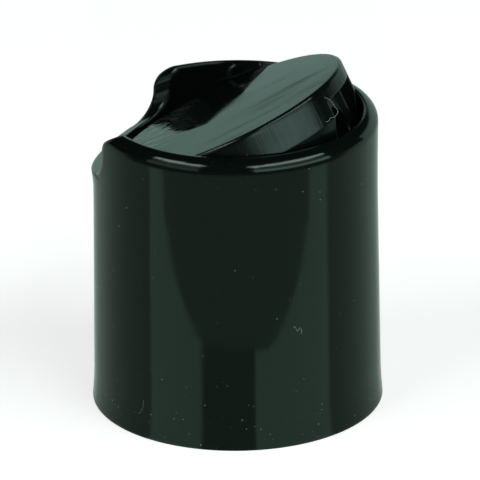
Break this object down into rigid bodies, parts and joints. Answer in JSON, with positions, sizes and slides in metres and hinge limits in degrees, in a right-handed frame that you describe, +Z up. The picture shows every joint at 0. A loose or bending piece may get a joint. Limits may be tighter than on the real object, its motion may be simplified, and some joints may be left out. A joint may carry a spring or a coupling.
{
  "type": "disc top cap",
  "caption": "Smooth-walled black disc top closure for a small bottle neck, with a thumb scoop and a tipping disc that raises a spout.",
  "frame": {"origin": "centre of the base, on the plane that the open end of the skirt stands on", "axes": "+Z up along the cap's axis, -Y towards the spout, +Y towards the thumb scoop, +X along the pivot axis"},
  "size_m": [0.0284, 0.0284, 0.0345],
  "materials": {
    "black_pp_body": "moulded gloss black polypropylene",
    "black_pp_disc": "moulded gloss black polypropylene, mirror-smooth top"
  },
  "bodies": {
    "body": {"cap_body": "black_pp_body"},
    "disc": {"disc": "black_pp_disc"}
  },
  "joints": [
    {"name": "disc_tilt", "type": "hinge", "parent": "body", "child": "disc", "pos_m": [0, 0.001, 0.02765], "axis": [1, 0, 0], "range_deg": [0, 25.3]}
  ]
}
